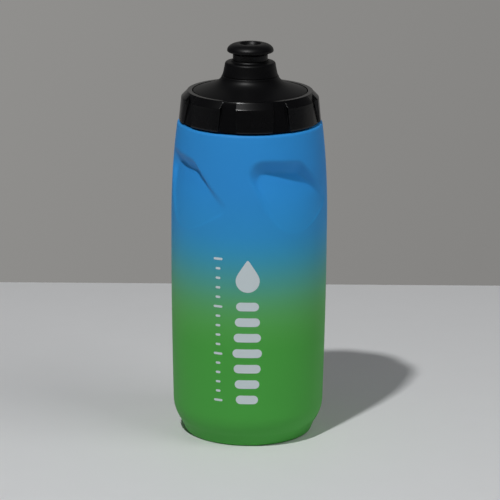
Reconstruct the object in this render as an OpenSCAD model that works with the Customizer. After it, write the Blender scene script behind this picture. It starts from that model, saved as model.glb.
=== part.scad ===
// Sports squeeze bottle: soft-walled bottle, screw cap with a domed top, and a push-pull drinking valve.
// Millimetres. The axis is Z, the bottle stands on z = 0, and its front is -Y.

/* [Bottle] */
// Outer diameter of the straight band that a bottle cage grips
body_d = 74; // [72:0.1:75]
// Wall thickness of the bottle
wall = 1.2; // [0.9:0.1:1.6]
// Height of the top of the heel curve
heel_z = 16; // [15:0.5:18]
// Radius of the heel curve, seen from the side
heel_curve_r = 17.5; // [16:0.5:19]
// Outer radius of the ring that the bottle stands on
foot_r = 28.9; // [28:0.1:29.5]
// Rise of the hollow under the base
punt_h = 5; // [3:0.5:7]
// Bottom of the straight band
band_bottom_z = 84; // [70:1:90]
// Top of the straight band
band_top_z = 104; // [98:1:104.5]
// Height of the ledge below the cap
ledge_z = 151.1; // [150.9:0.1:151.2]
// Outer radius of the ledge
ledge_r = 34.1; // [33.8:0.1:34.4]

/* [Finger grips] */
// Number of finger recesses around the shoulder
grip_n = 4; // [3:1:4]
// Turn of the first recess from the front of the bottle, in degrees
grip_turn = 36; // [30:1:42]
// Depth of a recess at its top edge
grip_depth = 6.8; // [5:0.1:7]
// Height of the lower end of a recess
grip_low_z = 105; // [104.5:0.5:106]
// Height of the deepest line of a recess floor
grip_deep_z = 131; // [130:0.5:132]
// Radius of the drum that the floor of a recess follows
grip_floor_r = 50; // [46:1:52]
// Turn of that drum from the middle of its recess, in degrees
grip_skew = -2; // [-4:1:2]

/* [Neck and thread] */
// Outer radius of the neck at the thread's root
neck_r = 28.2; // [28:0.1:28.3]
// Inner radius of the mouth
mouth_r = 26.5; // [26.3:0.1:26.6]
// Height of the neck's rim
neck_top_z = 161.6; // [161.5:0.1:162]
// Thread pitch
pitch = 4; // [3.8:0.1:4]
// Number of thread turns
thread_turns = 1.25; // [1:0.25:1.25]
// Height of the bottle thread
thread_h = 1.4; // [1.2:0.1:1.4]

/* [Cap] */
// Height of the cap's lower edge
cap_bottom_z = 152; // [151.9:0.1:152.1]
// Outer radius of the cap's lower edge
cap_bottom_r = 33.4; // [33.3:0.1:33.6]
// Outer radius of the cap just below its shoulder
cap_shoulder_r = 32.4; // [32.2:0.1:32.6]
// Height of the cap's flat rim
cap_rim_z = 166; // [165.8:0.1:166.2]
// Number of grip slots around the cap
slot_n = 8; // [6:1:10]
// Turn of the first grip slot from the front, in degrees
slot_turn = 26.5; // [20:0.5:30]
// Width of a grip slot at its top
slot_top_w = 7; // [6:0.1:8]
// Width of a grip slot at its bottom
slot_bottom_w = 9.2; // [8:0.1:10]

/* [Spout and valve] */
// Radius of the dome at the seam with the cap ring
dome_r = 26.85; // [26.6:0.05:26.85]
// Height of the tower's top
tower_top_z = 179.7; // [179:0.1:180]
// Radius of the drinking valve's stem
stem_r = 8.2; // [8.1:0.05:8.25]
// Radius of the mushroom head of the mouthpiece
head_r = 10.9; // [10.4:0.1:11.2]
// Overall height of the closed bottle
total_h = 188.2; // [188:0.1:188.6]
// Radius of the outlet hole in the valve
outlet_r = 2.3; // [2.3:0.1:2.6]
// Travel of the valve from closed to open
valve_travel = 5; // [4:0.5:5]

/* [Hidden] */
$fn = 96;

body_r = body_d / 2;
front = -90;                       // world angle of the bottle's front
heel_r = body_r - 1.05;            // radius where the heel curve meets the flank
heel_crease_z = 5.5;
foot_round = 1.8;
flank_swell = 1.6;                 // how quickly the flank swells to the straight band
shoulder_swell = 2.1;              // how late the shoulder draws in
curve_steps = 12;

// Thread
thread_root_w = 2.2;
thread_crest_w = 0.9;
thread_start_z = 155.1;
thread_fit = 0.3;                  // free space around the meshing threads
bore_r = neck_r + thread_h + thread_fit;
collar_thread_r = neck_r + thread_fit + 0.05;
collar_thread_drop = 1.7;          // the cap's thread runs this far below the bottle's
segments_per_turn = 36;

// Cap stack above the neck
gasket_h = 1.5;
flange_z = neck_top_z + gasket_h;
roof_z = flange_z + 1.3;
seat_r = 29.1;                     // recess in the collar that holds gasket and dome flange
seat_z = neck_top_z - 0.6;
seam_w = 0.35;

// Valve
tube_r = 8.85;                     // bore that the valve slides in
stem_fit = 0.08;
disc_top_z = total_h - 2.3;
disc_z = disc_top_z - 1.4;
head_z = tower_top_z + 3.4;        // underside of the mouthpiece head
retainer_z = tower_top_z - 1.4;    // underside of the lip that stops the valve
bead_top_z = retainer_z - valve_travel - 0.1;
core_low_z = bead_top_z - 3.8;
ring_z = core_low_z + 1;
ring_h = 1.4;
socket_r = 6.2;                    // where the head sits on the core
post_r = 2.6;
tip_r = outlet_r - 0.1;
spider_z = 164.6;
spider_h = 2;

// ---------- profiles: lists of [radius, height] ----------

// Quarter-turns and other arcs about a centre in the profile plane
function arc(c, r, a0, a1, n = curve_steps) =
    [for (i = [0:n]) let (a = a0 + (a1 - a0) * i / n) c + r * [cos(a), sin(a)]];

// Outside of the bottle from the foot to the ledge
heel_c = [heel_r - heel_curve_r, heel_z];
heel_a = asin((heel_z - heel_crease_z) / heel_curve_r);
function flank(n) = [for (i = [1:n]) let (t = i / n)
    [body_r - (body_r - heel_r) * pow(1 - t, flank_swell), heel_z + (band_bottom_z - heel_z) * t]];
function shoulder(n) = [for (i = [0:n]) let (t = i / n)
    [body_r - (body_r - ledge_r) * pow(t, shoulder_swell), band_top_z + (ledge_z - band_top_z) * t]];
outer_side = concat(
    arc([foot_r, foot_round], foot_round, -90, -15, 5),
    arc(heel_c, heel_curve_r, -heel_a, 0),
    flank(8),
    shoulder(curve_steps));

// Underside: a shallow round hollow inside the foot ring
punt_r = 25;
function punt(n, rise) = [for (i = [0:n]) let (t = i / n)
    [punt_r * t, punt_h * (1 - t * t) + rise]];

// Inside of the bottle: the side curve moved in by the wall, and the base moved up
inner_side = [for (p = outer_side) if (p[1] > heel_crease_z)
    [p[0] - wall, p[1] - (p[1] > ledge_z - 1 ? wall : 0)]];
base_t = wall * 1.3;

// ---------- helpers ----------

module at_angle(a) { rotate([0, 0, front + a]) children(); }

// Ring of rectangular section
module ring(r_out, r_in, z, h) {
    translate([0, 0, z]) difference() {
        cylinder(r = r_out, h = h);
        translate([0, 0, -1]) cylinder(r = r_in, h = h + 2);
    }
}

// Helical ridge standing on a wall of radius root_r, which fades into the wall at both ends.
// side is 1 for a ridge on the outside of a neck and -1 for one inside a bore.
module helix_ridge(root_r, side, height, z0) {
    n = round(segments_per_turn * thread_turns);
    bury = 0.5;
    flank = 0.2;                       // how much wider the buried foot is on each side
    fade = 5;
    section = function (i) let (
            k = min(1, i / fade, (n - i) / fade),
            crest = root_r + side * (-0.2 + (height + 0.2) * k),
            zc = z0 + pitch * i / segments_per_turn)
        [[root_r - side * bury, zc - thread_root_w / 2 - flank],
         [crest, zc - thread_crest_w / 2],
         [crest, zc + thread_crest_w / 2],
         [root_r - side * bury, zc + thread_root_w / 2 + flank]];
    pts = [for (i = [0:n]) for (p = section(i))
        let (a = 360 * i / segments_per_turn) [p[0] * cos(a), p[0] * sin(a), p[1]]];
    quads = [for (i = [0:n - 1]) for (j = [0:3])
        let (a = i * 4 + j, b = i * 4 + (j + 1) % 4, c = a + 4, d = b + 4)
        each (side > 0 ? [[a, d, c], [a, b, d]] : [[a, c, d], [a, d, b]])];
    ends = side > 0
        ? [[2, 1, 0], [3, 2, 0], [n * 4, n * 4 + 1, n * 4 + 2], [n * 4, n * 4 + 2, n * 4 + 3]]
        : [[0, 1, 2], [0, 2, 3], [n * 4 + 2, n * 4 + 1, n * 4], [n * 4 + 3, n * 4 + 2, n * 4]];
    polyhedron(points = pts, faces = concat(quads, ends), convexity = 6);
}

// Outline of a finger recess on the unrolled shoulder: the round-cornered shape around four circles,
// each [across, up, radius], across measured along the surface from the recess's middle line.
grip_corners = [[-17, 133.2, 6.2], [0.5, 130.2, 8], [19.2, 116.6, 3.2], [1, 119, 14]];
grip_focus = [6, 110];             // the walls of a recess lean towards this point
grip_lean = 0.047;                 // share of the way to the focus for each millimetre of depth
function grip_corner(a) = let (
        d = [cos(a), sin(a)],
        reach = [for (c = grip_corners) [c[0], c[1]] * d + c[2]],
        c = grip_corners[search(max(reach), reach)[0]])
    [c[0], c[1]] + c[2] * d;
function grip_outline(n, longest) = [for (i = [0:n - 1]) let (
        p = grip_corner(360 * i / n),
        q = grip_corner(360 * (i + 1) / n),
        m = ceil(norm(q - p) / longest))
    each [for (j = [0:m - 1]) p + (q - p) * j / m]];

// Block with the recess's outline wrapped round the bottle, narrowing inwards, centred on +X
module grip_block() {
    outline = grip_outline(24, 4);
    n = len(outline);
    r_out = body_r + 4;
    r_in = body_r - 10;
    wrapped = function (r) let (k = 1 - grip_lean * (body_r - 1 - r))
        [for (p = outline) let (
            q = grip_focus + (p - grip_focus) * k,
            a = q[0] / body_r * 180 / PI)
        [r * cos(a), r * sin(a), q[1]]];
    apex = [[body_r * 2.2, 0, grip_focus[1]], [r_in - 1, 0, grip_focus[1]]];
    pts = concat(wrapped(r_in), wrapped(r_out), apex);
    faces = [for (i = [0:n - 1]) let (j = (i + 1) % n)
        each [[i, i + n, j + n], [i, j + n, j], [i + n, 2 * n, j + n], [i, j, 2 * n + 1]]];
    polyhedron(points = pts, faces = faces, convexity = 4);
}

// What a finger recess takes away: the block outside a floor that leans inwards towards its top
module grip_cut() {
    lean = atan(grip_depth / (grip_deep_z - grip_low_z));
    difference() {
        grip_block();
        rotate([0, 0, grip_skew]) translate([body_r - grip_floor_r, 0, grip_low_z]) rotate([0, -lean, 0])
            translate([0, 0, -40]) cylinder(r = grip_floor_r, h = 100);
    }
}
grip_wall_share = 1.08;            // how much further the inside of a slanted recess wall stands off
module grip_cuts(inset) {
    for (k = [0:grip_n - 1])
        at_angle(grip_turn + 360 / grip_n * k) translate([-inset, 0, 0]) grip_cut();
}

// ---------- sub-parts ----------

// Blow-moulded bottle with a threaded neck
module squeeze_body() {
    color("dodgerblue") {
        difference() {
            difference() {
                rotate_extrude() polygon(concat(punt(6, 0), outer_side, [[neck_r, ledge_z], [0, ledge_z]]));
                grip_cuts(0);
            }
            difference() {
                rotate_extrude() polygon(concat(punt(6, base_t), [[punt_r + 4, base_t + 0.2]], inner_side,
                    [[0, ledge_z - wall]]));
                grip_cuts(wall * grip_wall_share);
            }
            translate([0, 0, ledge_z - 5]) cylinder(r = mouth_r, h = 20);
        }
        difference() {
            union() {
                translate([0, 0, ledge_z - wall / 2])
                    cylinder(r = neck_r, h = neck_top_z - ledge_z + wall / 2);
                helix_ridge(neck_r, 1, thread_h, thread_start_z);
            }
            translate([0, 0, ledge_z - 5]) cylinder(r = mouth_r, h = 20);
        }
    }
}

// Soft ring that seals the neck's rim
module cap_gasket() {
    color("dimgray") ring(seat_r - 0.3, mouth_r + 0.1, neck_top_z, gasket_h);
}

// Threaded cap ring with grip slots
collar_round = 1.2;
collar_top_r = 29.2;
module collar_profile() {
    polygon(concat(
        [[bore_r, cap_bottom_z], [cap_bottom_r, cap_bottom_z]],
        arc([cap_shoulder_r - collar_round, cap_rim_z - 3.3], collar_round, 0, 45, 4),
        [[collar_top_r, cap_rim_z], [dome_r + seam_w, cap_rim_z], [dome_r + seam_w, roof_z],
         [seat_r, roof_z], [seat_r, seat_z], [bore_r, seat_z - 0.4]]));
}
// Floor of a grip slot, from its bottom up to the rim
slot_floor = [[32.9, cap_bottom_z - 0.01], [30.3, cap_rim_z - 2.6], [29.9, cap_rim_z - 1.4],
    [collar_top_r + 0.1, cap_rim_z + 0.01]];
slot_depth = 6;                    // how far the slot cutters reach in from the cap's lower edge
module slot_cuts() {
    cap_h = cap_rim_z - cap_bottom_z;
    intersection() {
        rotate_extrude() polygon(concat(slot_floor,
            [[cap_bottom_r + 3, cap_rim_z + 0.01], [cap_bottom_r + 3, cap_bottom_z - 0.01]]));
        for (k = [0:slot_n - 1]) at_angle(slot_turn + 360 / slot_n * k)
            translate([cap_bottom_r - slot_depth, 0, cap_bottom_z])
                rotate([90, 0, 90])
                linear_extrude(slot_depth + 2)
                polygon([[-slot_bottom_w / 2, -1], [slot_bottom_w / 2, -1],
                    [slot_top_w / 2, cap_h + 1], [-slot_top_w / 2, cap_h + 1]]);
    }
}
module screw_collar() {
    color([0.05, 0.05, 0.055]) union() {
        difference() {
            rotate_extrude() collar_profile();
            slot_cuts();
        }
        helix_ridge(bore_r, -1, bore_r - collar_thread_r, thread_start_z - collar_thread_drop);
    }
}

// Domed top with the tower that guides the valve
dome_t = 1.5;
// Hollow curve from the dome up to the groove round the tower
tower_foot = [[18, 168.8], [16.2, 169.65], [15, 170.4], [14.2, 171.2], [13.6, 171.95], [13.1, 173]];
tower_neck_r = 11.9;
module dome_profile() {
    skin = concat(
        [[dome_r, cap_rim_z - 0.3], [dome_r - 0.5, cap_rim_z], [22.5, 167.3]],
        tower_foot,
        [[tower_neck_r, retainer_z - 0.6]],
        arc([tower_neck_r - 1.5, tower_top_z - 1.5], 1.5, 15, 80, 4),
        [[stem_r + 1.1, tower_top_z + 0.1], [stem_r + 0.5, tower_top_z + 0.7],
         [stem_r + stem_fit, tower_top_z + 0.7]]);
    polygon(concat(skin,
        [[stem_r + stem_fit, retainer_z], [tube_r, retainer_z], [tube_r, spider_z],
         [tube_r + 1.2, spider_z], [tube_r + 1.2, retainer_z - 3], [tower_neck_r - dome_t, retainer_z - 4],
         [tower_foot[5][0] - dome_t, tower_foot[5][1] - 1],
         [tower_foot[2][0] - dome_t * 0.5, tower_foot[2][1] - dome_t],
         [dome_r - 2, roof_z], [dome_r - 2, flange_z],
         [seat_r - 0.1, flange_z], [seat_r - 0.1, roof_z], [dome_r, roof_z]]));
}
module spout_dome() {
    color([0.12, 0.12, 0.125]) rotate_extrude() dome_profile();
}

// Three-armed spider in the tower's foot, carrying the post that plugs the valve
module plug_post() {
    color([0.16, 0.16, 0.165]) {
        ring(tube_r, tube_r - 1.6, spider_z, spider_h);
        for (k = [0:2]) rotate([0, 0, 90 + 120 * k]) translate([post_r - 0.6, -0.8, spider_z])
            cube([tube_r - 0.8 - post_r, 1.6, spider_h]);
        rotate_extrude() polygon(concat([[0, spider_z], [post_r, spider_z], [post_r, disc_z - 0.1],
            [tip_r, disc_z - 0.1]], arc([tip_r - 0.6, total_h - 1.5], 0.6, 0, 90, 3), [[0, total_h - 0.9]]));
    }
}

// Sliding sleeve of the drinking valve, closed by the post in its outlet
module valve_core() {
    core_in_r = 5.6;
    color([0.14, 0.14, 0.145]) difference() {
        union() {
            translate([0, 0, core_low_z]) cylinder(r = stem_r, h = head_z - core_low_z);
            translate([0, 0, bead_top_z - 1.2]) cylinder(r = tube_r - 0.1, h = 1.2);
            translate([0, 0, head_z - 1]) cylinder(r = socket_r, h = disc_top_z - head_z + 1);
        }
        ring(stem_r + 1, stem_r - 0.8, ring_z, ring_h);
        translate([0, 0, core_low_z - 1]) cylinder(r = core_in_r - 0.6, h = disc_z - core_low_z + 1);
        translate([0, 0, core_low_z - 1]) cylinder(r = core_in_r, h = head_z - core_low_z);
        cylinder(r = outlet_r, h = total_h);
    }
}

// Soft mushroom-shaped bite head
module mouthpiece() {
    opening_r = 4.8;
    crown_r = 5.6;
    crown_z = head_z + 1.5;
    color([0.09, 0.09, 0.095]) rotate_extrude() polygon(concat(
        [[socket_r, head_z], [stem_r + 0.1, head_z], [stem_r + 1.1, head_z + 0.5]],
        arc([head_r - 0.8, crown_z], 0.8, -60, 0, 4),
        [for (t = [18:18:90])
            [crown_r + (head_r - crown_r) * cos(t), crown_z + (total_h - crown_z) * sin(t)]],
        [[opening_r, total_h - 0.25], [opening_r, disc_top_z], [socket_r, disc_top_z]]));
}

// Sealing ring in the valve core's groove
module valve_seal_ring() {
    color([0.2, 0.2, 0.2]) ring(tube_r - 0.04, stem_r - 0.8, ring_z + 0.05, ring_h - 0.1);
}

squeeze_body();
cap_gasket();
screw_collar();
spout_dome();
plug_post();
valve_core();
mouthpiece();
valve_seal_ring();
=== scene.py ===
import math

import bpy
import numpy as np
from mathutils import Matrix, Vector


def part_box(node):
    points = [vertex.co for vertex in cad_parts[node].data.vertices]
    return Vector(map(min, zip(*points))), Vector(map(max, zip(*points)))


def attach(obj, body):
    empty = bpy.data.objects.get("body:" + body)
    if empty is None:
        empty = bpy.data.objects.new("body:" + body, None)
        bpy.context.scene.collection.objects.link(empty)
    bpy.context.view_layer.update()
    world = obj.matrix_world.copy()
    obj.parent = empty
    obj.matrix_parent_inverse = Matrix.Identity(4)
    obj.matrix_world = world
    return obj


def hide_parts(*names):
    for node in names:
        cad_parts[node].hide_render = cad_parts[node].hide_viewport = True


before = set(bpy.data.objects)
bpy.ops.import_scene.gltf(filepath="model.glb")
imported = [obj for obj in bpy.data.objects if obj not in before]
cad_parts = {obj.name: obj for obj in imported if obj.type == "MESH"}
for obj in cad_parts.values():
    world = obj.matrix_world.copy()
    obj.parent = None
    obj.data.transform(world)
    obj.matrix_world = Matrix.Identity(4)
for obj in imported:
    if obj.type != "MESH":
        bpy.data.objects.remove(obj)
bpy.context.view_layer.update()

MM = 0.001
FRONT = -90.0                      # world angle of the bottle's front, in degrees


def top_of(node):
    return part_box(node)[1].z / MM


def low_of(node):
    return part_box(node)[0].z / MM


def radius_of(node):
    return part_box(node)[1].x / MM


# ---------------------------------------------------------------- driving sizes, in millimetres

INK_PROUD, INK_SUNK = 0.06, 0.05    # the print's thickness above and below the bottle's surface
BODY_R = radius_of("squeeze_body") - INK_PROUD
NECK_TOP = top_of("squeeze_body")
CAP_BOTTOM = low_of("screw_collar")
CAP_RIM = top_of("screw_collar")
CAP_R = radius_of("screw_collar")
TOTAL = top_of("mouthpiece")
HEAD_LOW = low_of("mouthpiece")
HEAD_R = radius_of("mouthpiece")
LEDGE_Z = 151.1
LEDGE_R = 34.1
WALL = 1.2
NECK_R = 28.2
MOUTH_R = 26.5
PITCH = 4.0
THREAD_TURNS = 1.25
THREAD_START = 155.1
THREAD_H = 1.4
BORE_R = NECK_R + THREAD_H + 0.3
COLLAR_THREAD_H = BORE_R - (NECK_R + 0.35)
COLLAR_THREAD_DROP = 1.7


# ---------------------------------------------------------------- profile helpers

def arc(centre, r, a0, a1, n):
    """Points on an arc of the profile plane, angles in degrees."""
    return [(centre[0] + r * math.cos(math.radians(a)), centre[1] + r * math.sin(math.radians(a)))
            for a in np.linspace(a0, a1, n + 1)]


def line(p, q, n):
    """Points from p to q, without p."""
    return [(p[0] + (q[0] - p[0]) * i / n, p[1] + (q[1] - p[1]) * i / n) for i in range(1, n + 1)]


def smooth_step(x):
    x = np.clip(x, 0, 1)
    return x * x * (3 - 2 * x)


def smooth_min(a, b, k):
    h = np.clip(0.5 + 0.5 * (b - a) / k, 0, 1)
    return b + (a - b) * h - k * h * (1 - h)


def smooth_max(a, b, k):
    return -smooth_min(-a, -b, k)


# ---------------------------------------------------------------- mesh helpers

def new_piece(name, vertices, faces, sharp_deg=40):
    mesh = bpy.data.meshes.new(name)
    mesh.from_pydata([tuple(v) for v in vertices], [], faces)
    mesh.validate()
    mesh.shade_smooth()
    mesh.set_sharp_from_angle(angle=math.radians(sharp_deg))
    piece = bpy.data.objects.new(name, mesh)
    bpy.context.scene.collection.objects.link(piece)
    return piece


def turned_grid(radius, height, angle):
    """World points, in metres, of grids of radius and height (mm) and angle from the front (degrees)."""
    radius, height, angle = np.broadcast_arrays(radius, height, angle)
    a = np.radians(angle + FRONT)
    return np.stack([radius * np.cos(a), radius * np.sin(a), height], -1) * MM


def skin_grid(name, grid, loop, sharp_deg=40):
    """Closed mesh over grid[row, column]. Columns wrap round the axis. Rows wrap too if loop is true,
    or else the first and last rows close on a point on the axis."""
    rows, cols = grid.shape[:2]
    vertices = grid.reshape(-1, 3)
    column = np.arange(cols)
    after = (column + 1) % cols
    faces = []
    for r in range(rows if loop else rows - 1):
        a, b = r * cols, ((r + 1) % rows) * cols
        faces += np.stack([a + column, a + after, b + after, b + column], -1).tolist()
    if not loop:
        ends = [grid[0].mean(0), grid[-1].mean(0)]
        vertices = np.vstack([vertices, ends])
        base, last = rows * cols, (rows - 1) * cols
        faces += np.stack([after, column, np.full(cols, base)], -1).tolist()
        faces += np.stack([last + column, last + after, np.full(cols, base + 1)], -1).tolist()
    return new_piece(name, vertices, faces, sharp_deg)


def lathe(name, profile, columns, sharp_deg=40):
    """Ring-shaped piece turned from a profile that runs anticlockwise round its section."""
    p = np.array(profile)
    angle = np.arange(columns) * 360.0 / columns
    return skin_grid(name, turned_grid(p[:, :1], p[:, 1:], angle), loop=True, sharp_deg=sharp_deg)


# ---------------------------------------------------------------- threads

def thread(angle, height, start):
    """How high, from 0 to 1, the right-hand helical ridge stands at an angle and a height."""
    root_w, crest_w, fade = 2.2, 0.9, 50.0
    best = np.zeros(np.broadcast(angle, height).shape)
    turned = (angle + FRONT) % 360
    for turn in (0, 1):
        a = turned + 360 * turn
        centre = start + PITCH * a / 360
        ridge = np.clip((root_w / 2 - np.abs(height - centre)) / ((root_w - crest_w) / 2), 0, 1)
        ends = np.clip(np.minimum(a, 360 * THREAD_TURNS - a) / fade, 0, 1)
        best = np.maximum(best, smooth_step(ridge) * smooth_step(ends))
    return best


# ---------------------------------------------------------------- bottle

GRIP_N, GRIP_TURN, GRIP_DEPTH = 4, 36.0, 6.8
GRIP_LOW, GRIP_DEEP = 105.0, 131.0
GRIP_CORNERS = np.array([(-17, 133.2, 6.2), (0.5, 130.2, 8), (19.2, 116.6, 3.2), (1, 119, 14)])
GRIP_FOCUS = np.array((6.0, 110.0))
GRIP_LEAN = 0.047
GRIP_FLOOR_R = 50.0
GRIP_SKEW = -2.0
GRIP_SOFT = (114.0, 132.0)         # heights where a recess's edges are softest and crispest


def grip_depth(angle, height, surface):
    """Depth of the finger recesses below a surface of that radius, at angles from the front and heights."""
    step = 360.0 / GRIP_N
    a = (angle - GRIP_TURN + step / 2) % step - step / 2
    across = np.radians(a) * BODY_R
    # the wall leans from the outline towards the focus: share is 1 on the outline and 0 at the focus
    share = np.zeros(np.broadcast(across, height).shape)
    for t in np.radians(np.arange(0, 360, 5)):
        d = np.array((math.cos(t), math.sin(t)))
        reach = (GRIP_CORNERS[:, :2] @ d + GRIP_CORNERS[:, 2]).max() - GRIP_FOCUS @ d
        along = (across - GRIP_FOCUS[0]) * d[0] + (height - GRIP_FOCUS[1]) * d[1]
        share = np.maximum(share, along / reach)
    wall = (1 - share) / GRIP_LEAN
    # the floor is part of a round drum that leans inwards towards the top
    lean = math.atan(GRIP_DEPTH / (GRIP_DEEP - GRIP_LOW))
    axis = np.array((-math.sin(lean), 0, math.cos(lean)))
    ca = np.cos(np.radians(a - GRIP_SKEW))
    x0, dz = BODY_R - GRIP_FLOOR_R, height - GRIP_LOW
    # distance from the drum's axis equals its radius: a quadratic in the radius along this angle
    qa = 1 - (ca * axis[0]) ** 2
    qb = -2 * x0 * ca - 2 * ca * axis[0] * (-x0 * axis[0] + dz * axis[2])
    qc = x0 ** 2 + dz ** 2 - (-x0 * axis[0] + dz * axis[2]) ** 2 - GRIP_FLOOR_R ** 2
    floor = surface - (-qb + np.sqrt(np.maximum(qb ** 2 - 4 * qa * qc, 0))) / (2 * qa)
    # the top edges are crisp and the lower ends run out softly
    soft = 2 * (1 - smooth_step((height - GRIP_SOFT[0]) / (GRIP_SOFT[1] - GRIP_SOFT[0])))
    return smooth_max(smooth_min(wall, floor, 0.5 + soft), 0, 0.8 + soft)


def bottle_side():
    """Outside of the bottle from the heel's crease to the ledge."""
    n = 20
    heel_z, heel_curve, crease = 16.0, 17.5, 5.5
    heel_inset, flank_swell, shoulder_swell = 1.05, 1.6, 2.1
    band_low, band_top = 84.0, 104.0
    heel_r = BODY_R - heel_inset
    low = -math.degrees(math.asin((heel_z - crease) / heel_curve))
    side = arc((heel_r - heel_curve, heel_z), heel_curve, low, 0, n)
    side += [(BODY_R - heel_inset * (1 - t) ** flank_swell, heel_z + (band_low - heel_z) * t)
             for t in np.linspace(0, 1, n)[1:]]
    side += line((BODY_R, band_low), (BODY_R, band_top - 2), 5)
    return side + [(BODY_R - (BODY_R - LEDGE_R) * t ** shoulder_swell, band_top + (LEDGE_Z - band_top) * t)
                   for t in np.linspace(0, 1, 4 * n)[:-1]]


def bottle():
    foot_r, foot_round, punt_r, punt_h = 28.9, 1.8, 25.0, 5.0
    base_wall, inside_low = 1.56, 6.6
    ledge_round, rim_round, throat_round = 0.5, 0.4, 0.6
    punt = [(punt_r * t, punt_h * (1 - t * t)) for t in np.linspace(0.02, 0.98, 14)]
    foot = [(punt_r + 0.5, 0.12), (punt_r + 1.2, 0.0)] + arc((foot_r, foot_round), foot_round, -90, -20, 8)
    outer = bottle_side()
    ledge = arc((LEDGE_R - 0.55, LEDGE_Z - ledge_round), ledge_round, 5, 90, 6)
    ledge += line((LEDGE_R - 0.55, LEDGE_Z), (NECK_R + ledge_round, LEDGE_Z), 3)
    ledge += arc((NECK_R + ledge_round, LEDGE_Z + ledge_round), ledge_round, -90, -180, 4)[1:]
    rim_z = NECK_TOP - rim_round
    neck = line((NECK_R, LEDGE_Z + ledge_round), (NECK_R, rim_z), 56)
    rim = arc((NECK_R - rim_round, rim_z), rim_round, 15, 90, 4)
    rim += arc((MOUTH_R + rim_round, rim_z), rim_round, 90, 180, 5)
    inner_top = LEDGE_Z - WALL
    throat_z = inner_top + throat_round
    throat = line((MOUTH_R, rim_z), (MOUTH_R, throat_z), 6)
    throat += arc((MOUTH_R + throat_round, throat_z), throat_round, 180, 270, 4)[1:]
    throat += [(LEDGE_R - WALL - 2, inner_top)]
    inner = [(r - WALL, z) for r, z in outer[::-2] if inside_low < z < inner_top - throat_round]
    base = [(punt_r * t, punt_h * (1 - t * t) + base_wall) for t in np.linspace(1.13, 0.02, 12)]
    profile = np.array(punt + foot + outer + ledge + neck + rim + throat + inner + base)

    columns = 432
    angle = np.arange(columns)[None, :] * 360.0 / columns
    radius = np.repeat(profile[:, :1], columns, 1)
    height = np.repeat(profile[:, 1:], columns, 1)
    start = len(punt) + len(foot)
    outside = slice(start, start + len(outer))
    radius[outside] -= grip_depth(angle, height[outside], radius[outside])
    start = outside.stop + len(ledge)
    screw = slice(start, start + len(neck))
    radius[screw] += THREAD_H * thread(angle, height[screw], THREAD_START)
    start = screw.stop + len(rim) + len(throat)
    inside = slice(start, start + len(inner))
    radius[inside] -= grip_depth(angle, height[inside], radius[inside] + WALL)
    return skin_grid("bottle", turned_grid(radius, height, angle), loop=False, sharp_deg=60)


# ---------------------------------------------------------------- cap ring

SLOT_N, SLOT_TURN = 8, 26.5
SLOT_HALF_LOW, SLOT_HALF_TOP = 4.6, 3.5
SLOT_FLOOR = [(150.0, 32.95), (163.3, 30.35), (164.7, 29.98), (166.1, 29.5)]    # height, radius
SLOT_EDGE = 0.45                   # width of the rounding between a slot's floor and the cap's face
CAP_SHOULDER_R = 32.4
CAP_RIM_R = 29.2
SEAM_R = 27.2
ROOF_Z = 164.4
SEAT_R, SEAT_Z = 29.1, 161.0


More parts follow.
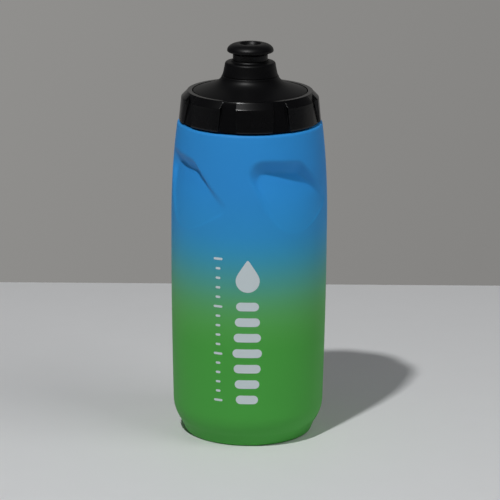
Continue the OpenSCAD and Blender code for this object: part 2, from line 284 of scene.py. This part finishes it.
def screw_collar():
    """Cap ring. Its columns follow the slanted edges of the grip slots."""
    outer = arc((CAP_R - 0.4, CAP_BOTTOM + 0.4), 0.4, -90, 0, 5)
    outer += line((CAP_R, CAP_BOTTOM + 0.4), (CAP_SHOULDER_R, CAP_RIM - 3.5), 16)
    outer += arc((CAP_SHOULDER_R - 0.7, CAP_RIM - 3.45), 0.7, 4, 42, 6)
    outer += line((CAP_SHOULDER_R - 0.2, CAP_RIM - 2.95), (CAP_RIM_R + 0.4, CAP_RIM - 0.35), 14)
    outer += arc((CAP_RIM_R, CAP_RIM - 0.5), 0.5, 46, 90, 5)
    inner = [(SEAM_R + 0.4, CAP_RIM)] + arc((SEAM_R + 0.3, CAP_RIM - 0.3), 0.3, 90, 180, 5)
    inner += line((SEAM_R, CAP_RIM - 0.3), (SEAM_R, ROOF_Z), 2)
    inner += line((SEAM_R, ROOF_Z), (SEAT_R, ROOF_Z), 2)
    inner += line((SEAT_R, ROOF_Z), (SEAT_R, SEAT_Z), 3) + [(BORE_R, SEAT_Z - 0.4)]
    bore = line((BORE_R, SEAT_Z - 0.4), (BORE_R, CAP_BOTTOM + 0.5), 48)
    lip = arc((BORE_R + 0.4, CAP_BOTTOM + 0.4), 0.4, 190, 270, 4)
    profile = np.array(outer + inner + bore + lip)

    edge = np.array([-0.7, -0.45, -0.28, -0.16, -0.06, 0.04, 0.14, 0.26, 0.4, 0.6])
    middle = np.linspace(-0.7, 0.7, 7)
    pitch_mm = 2 * math.pi * CAP_R / SLOT_N
    pad = np.linspace(0.05, 0.95, 16)
    radius, angle = [], []
    for r, z in profile:
        up = np.clip((z - CAP_BOTTOM) / (CAP_RIM - CAP_BOTTOM), 0, 1)
        half = SLOT_HALF_LOW + (SLOT_HALF_TOP - SLOT_HALF_LOW) * up
        a, b = half + edge[-1], pitch_mm - half - edge[-1]
        land = a + (b - a) * pad
        across = np.concatenate([-half - edge[::-1], middle * (half + edge[0]), half + edge, land])
        inside = smooth_step(0.5 - (np.abs(across) - half) / SLOT_EDGE)
        inside[across > a] = 0
        floor = np.interp(z, [height for height, _ in SLOT_FLOOR], [floor_r for _, floor_r in SLOT_FLOOR])
        cut = inside * max(r - floor, 0) if len(radius) < len(outer) else 0 * inside
        radius.append(np.tile(r - cut, SLOT_N))
        turn = SLOT_TURN + 360 / SLOT_N * np.repeat(np.arange(SLOT_N), len(across))
        angle.append(turn + np.degrees(np.tile(across, SLOT_N) / CAP_R))
    radius, angle = np.array(radius), np.array(angle)
    height = np.repeat(profile[:, 1:], radius.shape[1], 1)
    screw = slice(len(outer) + len(inner), len(outer) + len(inner) + len(bore))
    ridge = thread(angle[screw], height[screw], THREAD_START - COLLAR_THREAD_DROP)
    radius[screw] -= COLLAR_THREAD_H * ridge
    return skin_grid("cap_ring", turned_grid(radius, height, angle), loop=True, sharp_deg=50)


# ---------------------------------------------------------------- dome, valve and seals

TUBE_R, STEM_R = 8.85, 8.2
GROOVE_R = STEM_R - 0.8
TOWER_TOP = 179.7
RETAINER_Z = TOWER_TOP - 1.4
SPIDER_Z = 164.6
FLANGE_Z = 163.1


def spout_dome():
    """Domed top with the valve's tower, hollow from below."""
    edge_r = 26.85
    edge = arc((edge_r - 0.35, CAP_RIM - 0.4), 0.35, 0, 75, 5)
    skirt = [(26.3, 166.05), (24.5, 166.62), (22.5, 167.25), (20.5, 167.9), (18.5, 168.62),
             (17.2, 169.17), (16.2, 169.7)]
    waist = [(15.5, 170.13), (14.9, 170.57), (14.4, 171.03), (14.0, 171.5), (13.7, 171.95),
             (13.5, 172.4), (13.42, 172.68)]
    groove = [(13.36, 172.86), (13.2, 173.02), (12.97, 173.12), (12.74, 173.19), (12.7, 173.31),
              (12.8, 173.42), (13.0, 173.47), (12.97, 173.6)]
    tower = [(12.8, 174.1), (12.6, 174.9), (12.42, 175.8), (12.26, 176.6), (12.1, 177.4), (12.0, 178.0)]
    crown = arc((10.7, TOWER_TOP - 1.35), 1.25, 8, 82, 9)
    lip = [(9.7, TOWER_TOP - 0.02), (9.35, TOWER_TOP + 0.06), (9.15, TOWER_TOP + 0.25),
           (9.02, TOWER_TOP + 0.5), (8.8, TOWER_TOP + 0.68), (8.5, TOWER_TOP + 0.7),
           (8.32, TOWER_TOP + 0.55)]
    outside = edge + [p for part in (skirt, waist, groove, tower, crown, lip) for p in part]
    inside = [(8.28, RETAINER_Z), (TUBE_R, RETAINER_Z), (TUBE_R, SPIDER_Z), (TUBE_R + 1.2, SPIDER_Z),
              (TUBE_R + 1.2, RETAINER_Z - 3), (10.4, RETAINER_Z - 4), (11.6, 172.0), (14.25, 168.9),
              (24.85, ROOF_Z), (24.85, FLANGE_Z), (SEAT_R - 0.1, FLANGE_Z), (SEAT_R - 0.1, ROOF_Z),
              (edge_r, ROOF_Z)]
    return lathe("dome", outside + inside, 256, sharp_deg=35)


def mouthpiece():
    """Soft mushroom head with a dished opening."""
    socket_r, opening_r, floor_r, floor_z = 6.2, 4.9, 3.2, TOTAL - 2.3
    under = [(socket_r, HEAD_LOW), (8.1, HEAD_LOW), (8.35, HEAD_LOW + 0.15), (8.7, HEAD_LOW + 0.5)]
    under += line((8.7, HEAD_LOW + 0.5), (HEAD_R - 0.45, HEAD_LOW + 1.2), 4)
    rim = arc((HEAD_R - 0.65, HEAD_LOW + 1.78), 0.65, -62, 10, 10)
    crown_r, crown_z = 5.7, HEAD_LOW + 1.9
    crown = [(crown_r + (HEAD_R - crown_r) * math.cos(t), crown_z + (TOTAL - crown_z) * math.sin(t))
             for t in np.linspace(0.1, math.pi / 2, 20)]
    mouth = arc((opening_r + 0.45, TOTAL - 0.45), 0.45, 90, 160, 6)[1:]
    mouth += line((opening_r - 0.05, TOTAL - 0.7), (floor_r, floor_z), 4) + [(socket_r, floor_z)]
    return lathe("bite_head", under + rim + crown + mouth, 192)


def rounded_ring(name, r_in, r_out, low, top, r, columns=160):
    corners = [((r_out - r, low + r), -90), ((r_out - r, top - r), 0),
               ((r_in + r, top - r), 90), ((r_in + r, low + r), 180)]
    return lathe(name, [p for c, a in corners for p in arc(c, r, a, a + 90, 5)], columns)


def valve_core():
    """Stiff sleeve of the valve, with the seal's groove, a stop bead and the outlet hole in its top."""
    low, top = low_of("valve_core"), top_of("valve_core")
    ring_low, ring_top, bead_top = low + 1, low + 2.4, low + 3.8
    hole_r, bead_r, socket_r = 2.3, TUBE_R - 0.1, 6.18
    outside = [(5.6, low), (STEM_R - 0.25, low), (STEM_R, low + 0.25), (STEM_R, ring_low),
               (GROOVE_R, ring_low), (GROOVE_R, ring_top), (STEM_R, ring_top),
               (bead_r - 0.2, bead_top - 1.2), (bead_r, bead_top - 1.0), (bead_r, bead_top - 0.2),
               (bead_r - 0.2, bead_top), (STEM_R, bead_top), (STEM_R, HEAD_LOW),
               (socket_r, HEAD_LOW), (socket_r, top)]
    inside = [(hole_r + 0.25, top), (hole_r, top - 0.25), (hole_r, top - 1.4), (5.0, top - 1.4),
              (5.0, HEAD_LOW - 3.8), (5.6, HEAD_LOW - 4.4)]
    return lathe("valve_core_sleeve", outside + inside, 160, sharp_deg=30)


# ---------------------------------------------------------------- printed mark: a drop over a level gauge

INK_STEP = 0.8                     # longest edge of a printed shape
INK_RINGS = 7                      # rings of faces between its centre and its edge


def subdivided(loop, longest):
    """The loop with its long edges split, so that it follows the bottle's curve."""
    points = []
    for p, q in zip(loop, np.roll(loop, -1, 0)):
        n = max(1, math.ceil(np.hypot(*(q - p)) / longest))
        points += [p + (q - p) * i / n for i in range(n)]
    return np.array(points)


def surface_radius(height):
    side = bottle_side()
    return np.interp(height, [z for _, z in side], [r for r, _ in side])


def ink(name, outlines):
    """Thin closed skins on the bottle. Each outline is a loop of (across, height) points."""
    vertices, faces = [], []
    for outline in outlines:
        rim = subdivided(np.array(outline), INK_STEP)
        n = len(rim)
        centre = rim.mean(0)
        flat = [centre + (rim - centre) * k / INK_RINGS for k in range(1, INK_RINGS + 1)]
        for lift, turn in ((INK_PROUD, 1), (-INK_SUNK, -1)):
            base = len(vertices)
            for p in [centre[None, :]] + flat:
                across, height = p[:, 0], p[:, 1]
                r = surface_radius(height)
                vertices += list(turned_grid(r + lift, height, np.degrees(across / BODY_R)))
            for i in range(n):
                j = (i + 1) % n
                faces.append([base, base + 1 + i, base + 1 + j][::turn])
                for k in range(INK_RINGS - 1):
                    a, b = base + 1 + k * n, base + 1 + (k + 1) * n
                    faces.append([a + i, b + i, b + j, a + j][::turn])
        # join the edges of the upper and the lower skin
        count = 1 + INK_RINGS * n
        top = len(vertices) - 2 * count + 1 + (INK_RINGS - 1) * n
        faces += [[top + i, top + count + i, top + count + (i + 1) % n, top + (i + 1) % n]
                  for i in range(n)]
    return new_piece(name, vertices, faces, 30)


def pill(across, height, width, tall):
    """Bar with round ends, as points going anticlockwise."""
    r = min(width, tall) / 2
    dx, dz = width / 2 - r, tall / 2 - r
    points = []
    for start, sx, sz in ((0, 1, 1), (90, -1, 1), (180, -1, -1), (270, 1, -1)):
        points += arc((across + sx * dx, height + sz * dz), r, start, start + 90, 6)
    return [p for i, p in enumerate(points) if math.dist(p, points[i - 1]) > 1e-6]


def drop(across, height, r):
    """Water drop: a circle drawn out to a point at its top."""
    narrowing, rise = 0.55, 0.75
    points = []
    for t in np.linspace(0, 2 * math.pi, 48, endpoint=False):
        pull = max(math.sin(t), 0) ** 3
        width = r * math.cos(t) * (1 - narrowing * pull)
        points.append((across + width, height + r * math.sin(t) + rise * r * pull))
    return points


def printed_mark():
    across, drop_z, drop_r = -0.5, 83.0, 5.6
    bar_z, step, bar_h, width, taper = 70.5, 7.6, 4.2, 14.0, 1.1
    bars = [pill(across, bar_z - step * i, width - taper * abs(i - 3), bar_h) for i in range(7)]
    return ink("ink_gauge", [drop(across, drop_z, drop_r)] + bars)


def printed_ticks():
    across, top, step, tall = -14.7, 93.0, 4.6, 1.1
    long_tick, short_tick = 4.4, 2.4
    return ink("ink_ticks", [pill(across, top - step * i, short_tick if i % 5 else long_tick, tall)
                             for i in range(16)])


# ---------------------------------------------------------------- materials

def srgb(r, g, b):
    """Linear colour from 8-bit sRGB values."""
    linear = [c / 12.92 if c <= 0.04045 else ((c + 0.055) / 1.055) ** 2.4
              for c in (r / 255, g / 255, b / 255)]
    return (*linear, 1)


def node(tree, kind, inputs=None, **settings):
    n = tree.nodes.new(kind)
    for key, value in settings.items():
        setattr(n, key, value)
    for key, value in (inputs or {}).items():
        if isinstance(value, bpy.types.NodeSocket):
            tree.links.new(value, n.inputs[key])
        else:
            n.inputs[key].default_value = value
    return n


def mapped(tree, value, low, high):
    """A 0 to 1 value moved to the range low to high."""
    moved = node(tree, "ShaderNodeMapRange", {"Value": value, "To Min": low, "To Max": high})
    return moved.outputs["Result"]


CLOUD_SCALE = 60.0                 # size of the soft clouds in a plastic's colour and gloss


def plastic(name, colour, roughness, spread=0.04, grain=1500.0, grain_depth=0.00002, mottle=0.06, **shader):
    """Moulded plastic or rubber: fine surface grain, slight cloudiness of colour, and uneven gloss.
    colour is an RGBA tuple, or a function that makes a colour socket in the tree."""
    material = bpy.data.materials.new(name)
    material.use_nodes = True
    tree = material.node_tree
    tree.nodes.clear()
    place = node(tree, "ShaderNodeTexCoord").outputs["Object"]
    cloud, fine = [
        node(tree, "ShaderNodeTexNoise", {"Vector": place, "Scale": scale, "Detail": detail}).outputs["Fac"]
        for scale, detail in ((CLOUD_SCALE, 3.0), (grain, 2.0))]
    tint = colour(tree, place) if callable(colour) else None
    mix = node(tree, "ShaderNodeMix", {0: 1.0}, data_type="RGBA", blend_type="MULTIPLY")
    if tint:
        tree.links.new(tint, mix.inputs[6])
    else:
        mix.inputs[6].default_value = colour
    shade = node(tree, "ShaderNodeCombineColor",
                 {i: mapped(tree, cloud, 1 - mottle, 1 + mottle) for i in range(3)})
    tree.links.new(shade.outputs["Color"], mix.inputs[7])
    bump = node(tree, "ShaderNodeBump", {"Strength": 0.5, "Distance": grain_depth, "Height": fine})
    body = node(tree, "ShaderNodeBsdfPrincipled", {
        "Base Color": mix.outputs[2],
        "Roughness": mapped(tree, cloud, roughness - spread, roughness + spread),
        "Normal": bump.outputs["Normal"], **shader})
    out = node(tree, "ShaderNodeOutputMaterial")
    tree.links.new(body.outputs["BSDF"], out.inputs["Surface"])
    return material


# colour of the spray fade by height, blue at the top and green at the bottom
FADE = [(48, (74, 170, 67)), (60, (87, 175, 80)), (70, (93, 174, 106)), (80, (85, 169, 149)),
        (92, (59, 161, 196)), (104, (50, 155, 221)), (128, (49, 148, 226))]


def fade(tree, place):
    height = node(tree, "ShaderNodeSeparateXYZ", {0: place}).outputs["Z"]
    low, high = FADE[0][0] * MM, FADE[-1][0] * MM
    span = node(tree, "ShaderNodeMapRange", {"Value": height, "From Min": low, "From Max": high})
    ramp = node(tree, "ShaderNodeValToRGB", {"Fac": span.outputs["Result"]})
    ramp.color_ramp.interpolation = "B_SPLINE"
    stops = ramp.color_ramp.elements
    while len(stops) < len(FADE):
        stops.new(0.5)
    for stop, (z, colour) in zip(stops, FADE):
        stop.position = (z - FADE[0][0]) / (FADE[-1][0] - FADE[0][0])
        stop.color = srgb(*colour)
    return ramp.outputs["Color"]


SOFT_TOUCH = plastic("soft_touch_fade", fade, 0.52, spread=0.03, grain=2600, grain_depth=0.00001,
                     mottle=0.02, **{"Specular IOR Level": 0.22})
INK = plastic("screen_ink", srgb(214, 226, 230), 0.45, grain=4000, mottle=0.03)
GLOSS_BLACK = plastic("gloss_black", srgb(4, 4, 5), 0.27, spread=0.02, grain=3000, grain_depth=0.000004,
                      mottle=0.1, **{"Specular IOR Level": 0.36})
SATIN_BLACK = plastic("satin_black", srgb(7, 7, 8), 0.44, spread=0.04, grain=2600, grain_depth=0.00001,
                      **{"Specular IOR Level": 0.2})
VALVE_BLACK = plastic("valve_black", srgb(7, 7, 8), 0.38, grain=2600, grain_depth=0.00001,
                      **{"Specular IOR Level": 0.25})
BITE_RUBBER = plastic("bite_rubber", srgb(8, 8, 9), 0.44, spread=0.05, grain=2200, grain_depth=0.00002,
                      **{"Specular IOR Level": 0.25})
SEAL_RUBBER = plastic("seal_rubber", srgb(52, 52, 54), 0.55, grain=1800)


# ---------------------------------------------------------------- assembly

def place_piece(piece, body, cad_nodes, material):
    piece.data.materials.clear()
    piece.data.materials.append(material)
    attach(piece, body)
    if cad_nodes:
        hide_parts(*cad_nodes)


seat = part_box("cap_gasket")
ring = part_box("valve_seal_ring")
gasket = rounded_ring("gasket", MOUTH_R + 0.1, seat[1].x / MM, seat[0].z / MM, seat[1].z / MM, 0.35)
seal = rounded_ring("stem_seal", GROOVE_R, ring[1].x / MM, ring[0].z / MM, ring[1].z / MM, 0.6)
place_piece(bottle(), "bottle", ["squeeze_body"], SOFT_TOUCH)
place_piece(printed_mark(), "bottle", [], INK)
place_piece(printed_ticks(), "bottle", [], INK)
place_piece(gasket, "cap_seal", ["cap_gasket"], SEAL_RUBBER)
place_piece(screw_collar(), "cap", ["screw_collar"], GLOSS_BLACK)
place_piece(spout_dome(), "cap", ["spout_dome"], SATIN_BLACK)
place_piece(valve_core(), "valve", ["valve_core"], VALVE_BLACK)
place_piece(mouthpiece(), "valve", ["mouthpiece"], BITE_RUBBER)
place_piece(seal, "valve", ["valve_seal_ring"], SEAL_RUBBER)
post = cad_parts["plug_post"]
post.data.materials.clear()
post.data.materials.append(VALVE_BLACK)


# ---------------------------------------------------------------- stage, lights and camera

def stage():
    """Pale table top whose back edge stands a little behind the bottle."""
    back, half, front, thick = 0.256, 1.2, -0.55, 0.03
    corners = [(-half, front), (half, front), (half, back), (-half, back)]
    vertices = [(x, y, z) for z in (-thick, 0) for x, y in corners]
    faces = [(3, 2, 1, 0), (4, 5, 6, 7)] + [(i, (i + 1) % 4, (i + 1) % 4 + 4, i + 4) for i in range(4)]
    table = new_piece("table", vertices, faces)
    table.data.materials.append(plastic("table_white", srgb(228, 229, 230), 0.6, grain=300, mottle=0.01))


def soft_light(name, place, aim, size, watts):
    data = bpy.data.lights.new(name, "AREA")
    data.shape, data.energy = "RECTANGLE", watts
    data.size, data.size_y = size
    lamp = bpy.data.objects.new(name, data)
    lamp.location = place
    lamp.rotation_euler = (Vector(aim) - Vector(place)).to_track_quat("-Z", "Y").to_euler()
    bpy.context.scene.collection.objects.link(lamp)
    return lamp


def camera():
    """Long lens a little above the bottle, with the photograph's slight roll."""
    distance, elevation, roll = 1.343, math.radians(14.9), math.radians(0.4)
    aim = Vector((0.00048, 0, 0.0882))
    data = bpy.data.cameras.new("camera")
    data.lens, data.sensor_width = 203.0, 36.0
    cam = bpy.data.objects.new("camera", data)
    back = Vector((0, -math.cos(elevation), math.sin(elevation)))
    turn = (-back).to_track_quat("-Z", "Y").to_matrix().to_4x4() @ Matrix.Rotation(roll, 4, "Z")
    cam.matrix_world = Matrix.Translation(aim + back * distance) @ turn
    bpy.context.scene.collection.objects.link(cam)
    bpy.context.scene.camera = cam


def surroundings(wall_left, wall_right, dim):
    """Studio: a wall all round below the horizon and high up behind the bottle, a little darker towards its
    right and its foot, and dim elsewhere and far to the left. Limits are parts of a unit direction."""
    wall_rise = 0.8                # how steeply the wall's top edge rises behind the bottle
    wall_low, wall_top = -0.26, -0.16
    shade_slant, shade_width = -0.5, 0.21
    left_start, left_end = -0.25, -0.6
    world = bpy.data.worlds.new("studio")
    world.use_nodes = True
    tree = world.node_tree
    toward = node(tree, "ShaderNodeSeparateXYZ", {0: node(tree, "ShaderNodeTexCoord").outputs["Generated"]})
    up = toward.outputs["Z"]
    behind = node(tree, "ShaderNodeMath", {0: toward.outputs["Y"], 1: 0.0}, operation="MAXIMUM").outputs[0]
    lowered = node(tree, "ShaderNodeMath", {0: behind, 1: -wall_rise, 2: up}, operation="MULTIPLY_ADD")
    share = node(tree, "ShaderNodeMapRange",
                 {"Value": lowered.outputs[0], "From Min": wall_low, "From Max": wall_top})
    across = node(tree, "ShaderNodeMath", {0: up, 1: shade_slant, 2: toward.outputs["X"]},
                  operation="MULTIPLY_ADD")
    right = node(tree, "ShaderNodeMapRange",
                 {"Value": across.outputs[0], "From Min": 0.0, "From Max": shade_width})
    wall = node(tree, "ShaderNodeMix", {0: right.outputs["Result"]}, data_type="RGBA")
    wall.inputs[6].default_value, wall.inputs[7].default_value = wall_left, wall_right
    aside = node(tree, "ShaderNodeMapRange",
                 {"Value": toward.outputs["X"], "From Min": left_start, "From Max": left_end})
    sided = node(tree, "ShaderNodeMix", {0: aside.outputs["Result"], 6: wall.outputs[2]}, data_type="RGBA")
    sided.inputs[7].default_value = dim
    tone = node(tree, "ShaderNodeMix", {0: share.outputs["Result"], 6: sided.outputs[2]}, data_type="RGBA")
    tone.inputs[7].default_value = dim
    tree.links.new(tone.outputs[2], tree.nodes["Background"].inputs["Color"])
    bpy.context.scene.world = world


stage()
surroundings(srgb(144, 143, 141), srgb(133, 132, 130), srgb(66, 66, 68))
soft_light("key", (-0.356, -0.662, 1.348), (0, 0, 0.1), (0.06, 0.06), 13)
fill = soft_light("fill", (0.95, -0.5, 1.1), (0, 0, 0.1), (0.9, 0.9), 5.2)
fill.visible_glossy = False        # it lifts the shadow without a highlight of its own
camera()
bpy.context.scene.view_settings.view_transform = "Standard"
